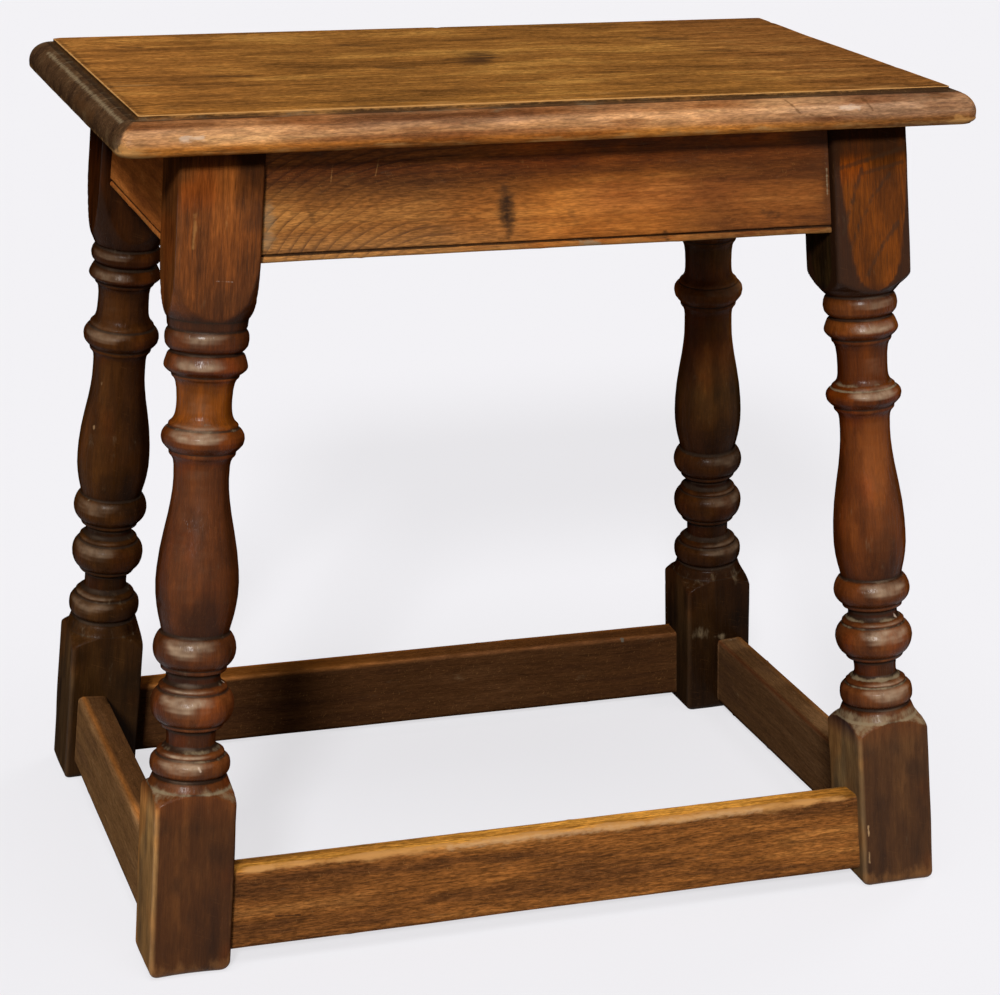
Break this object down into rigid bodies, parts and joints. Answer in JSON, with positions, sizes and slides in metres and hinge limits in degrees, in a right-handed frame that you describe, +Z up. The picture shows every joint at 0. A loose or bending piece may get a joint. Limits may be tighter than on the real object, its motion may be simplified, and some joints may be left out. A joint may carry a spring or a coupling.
{
  "type": "joint stool",
  "caption": "Oak joint stool with a moulded rectangular top on splayed turned legs, frieze rails under the top and a low ring of plain stretchers.",
  "frame": {"origin": "on the floor, under the middle of the top", "axes": "+X along the length of the top, the front of the stool toward -Y, +Z up"},
  "size_m": [0.458, 0.3118, 0.4475],
  "materials": {
    "oak_top": "waxed, worn",
    "oak_leg": "dark polished",
    "oak_frieze": "waxed",
    "oak_stretcher": "waxed, worn",
    "screw_steel": "dull"
  },
  "bodies": {
    "root": {"top_board": "oak_top", "leg_front_left": "oak_leg", "leg_front_right": "oak_leg", "leg_back_left": "oak_leg", "leg_back_right": "oak_leg", "frieze_rail_front": "oak_frieze", "frieze_rail_back": "oak_frieze", "frieze_rail_left": "oak_frieze", "frieze_rail_right": "oak_frieze", "stretcher_front": "oak_stretcher", "stretcher_back": "oak_stretcher", "stretcher_left": "oak_stretcher", "stretcher_right": "oak_stretcher", "top_screws": "screw_steel"}
  },
  "joints": []
}
